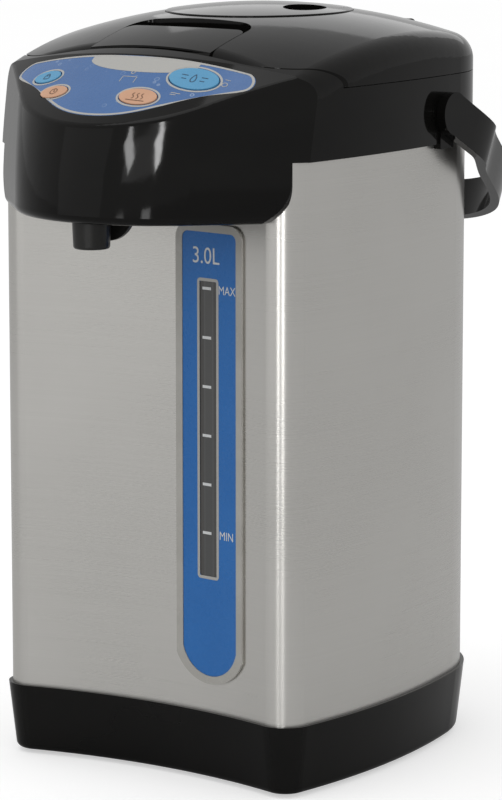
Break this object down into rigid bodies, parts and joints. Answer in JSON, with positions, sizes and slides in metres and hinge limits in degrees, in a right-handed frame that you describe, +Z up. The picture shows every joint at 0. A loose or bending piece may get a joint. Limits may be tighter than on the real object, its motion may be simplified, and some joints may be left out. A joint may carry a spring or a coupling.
{
  "type": "electric thermo pot",
  "caption": "Upright electric thermo pot: satin steel body with hollow front, prow-shaped spout head with sloping keypad, water gauge, hinged crowned lid and a bail handle.",
  "frame": {"origin": "on the table, in the middle of the pot as seen from above, with the handle resting at the back; the rubber feet stand on z = 0", "axes": "+Z up, front and spout towards -Y, +X to the right as seen by someone facing away from the front (towards +Y)"},
  "size_m": [0.174, 0.2652, 0.3269],
  "materials": {
    "black_plastic": "high gloss",
    "dark_plastic": "fine matt",
    "pale_plastic": "satin",
    "rubber": "matt",
    "screws": "zinc plated",
    "contacts": "plain",
    "steel": "satin, fine vertical sheen",
    "vessel": "bright rolled",
    "insulation": "fibre felt",
    "heater": "cast",
    "board": "printed board",
    "motor": "plated can",
    "magnet": "sintered",
    "silicone": "translucent satin",
    "clear_tube": "clear",
    "label": "printed film",
    "window": "tinted clear",
    "panel": "printed film",
    "cyan_key": "printed, domed",
    "orange_key": "printed, domed"
  },
  "bodies": {
    "frame": {"base_ring": "black_plastic", "board_posts": "dark_plastic", "bottom_plate": "black_plastic", "bottom_screws": "screws", "control_board": "board", "control_panel": "panel", "delivery_hose": "silicone", "gauge_bezel": "pale_plastic", "gauge_label": "label", "gauge_window": "window", "handle_mounts": "black_plastic", "handle_pins": "contacts", "head_underside": "black_plastic", "heater_plate": "heater", "hinge_pin": "contacts", "inlet_pins": "contacts", "inner_vessel": "vessel", "insulation": "insulation", "key_switches": "dark_plastic", "level_tube": "clear_tube", "lever_pin": "contacts", "lever_switch": "dark_plastic", "lower_sleeve": "silicone", "motor_cushion": "rubber", "nozzle": "dark_plastic", "power_board": "board", "power_inlet": "black_plastic", "pump_housing": "dark_plastic", "pump_motor": "motor", "rubber_feet": "rubber", "shoulder": "black_plastic", "spout_pipe": "silicone", "steel_shell": "steel", "suction_joint": "silicone", "temperature_sensor": "contacts", "upper_sleeve": "silicone"},
    "lid": {"lid_cover": "black_plastic", "lid_pan": "vessel", "lid_gasket": "silicone", "steam_plate": "vessel", "vent_duct": "dark_plastic", "latch_pin": "contacts"},
    "latch": {"latch_flap": "black_plastic"},
    "vent": {"vent_cap": "black_plastic", "vent_grille": "dark_plastic"},
    "bail": {"handle": "black_plastic"},
    "lever": {"cup_lever": "dark_plastic"},
    "key_dispense": {"dispense_key": "cyan_key"},
    "key_boil": {"boil_key": "orange_key"},
    "key_lock": {"lock_key": "cyan_key"},
    "key_timer": {"timer_key": "orange_key"},
    "pump_wheel": {"impeller": "dark_plastic"},
    "motor_rotor": {"drive_magnet": "magnet"}
  },
  "joints": [
    {"name": "lid_hinge", "type": "hinge", "parent": "frame", "child": "lid", "pos_m": [0, 0.1045, 0.31], "axis": [-1, 0, 0], "range_deg": [0, 95]},
    {"name": "latch_lift", "type": "hinge", "parent": "lid", "child": "latch", "pos_m": [0, -0.0675, 0.3074], "axis": [1, 0, 0], "range_deg": [0, 25], "stiffness_Nm_per_rad": 0.15, "springref_deg": -11.46},
    {"name": "vent_turn", "type": "hinge", "parent": "lid", "child": "vent", "pos_m": [0, 0.011, 0.3165], "axis": [0, 0, 1], "range_deg": [0, 40]},
    {"name": "handle_swing", "type": "hinge", "parent": "frame", "child": "bail", "pos_m": [0, 0.033, 0.281], "axis": [1, 0, 0], "range_deg": [0, 116]},
    {"name": "lever_push", "type": "hinge", "parent": "frame", "child": "lever", "pos_m": [0, -0.1007, 0.2505], "axis": [1, 0, 0], "range_deg": [0, 15], "stiffness_Nm_per_rad": 0.02, "springref_deg": -11.46},
    {"name": "press_dispense", "type": "slide", "parent": "frame", "child": "key_dispense", "axis": [-0.1433, 0.5534, -0.8205], "range_m": [0, 0.0007], "stiffness_N_per_m": 800, "springref_m": -0.0005},
    {"name": "press_boil", "type": "slide", "parent": "frame", "child": "key_boil", "axis": [-0.067, 0.5579, -0.8272], "range_m": [0, 0.0007], "stiffness_N_per_m": 800, "springref_m": -0.0005},
    {"name": "press_lock", "type": "slide", "parent": "frame", "child": "key_lock", "axis": [0.1634, 0.5517, -0.8179], "range_m": [0, 0.0007], "stiffness_N_per_m": 800, "springref_m": -0.0005},
    {"name": "press_timer", "type": "slide", "parent": "frame", "child": "key_timer", "axis": [0.1181, 0.5553, -0.8232], "range_m": [0, 0.0007], "stiffness_N_per_m": 800, "springref_m": -0.0005},
    {"name": "motor_spin", "type": "hinge", "parent": "frame", "child": "motor_rotor", "pos_m": [0, -0.035, 0.023], "axis": [0, 0, 1], "continuous": true},
    {"name": "pump_spin", "type": "hinge", "parent": "frame", "child": "pump_wheel", "pos_m": [0, -0.035, 0.0295], "axis": [0, 0, 1], "continuous": true}
  ],
  "couplings": [
    {"joint": "pump_spin", "follows": "motor_spin", "ratio": 1}
  ]
}
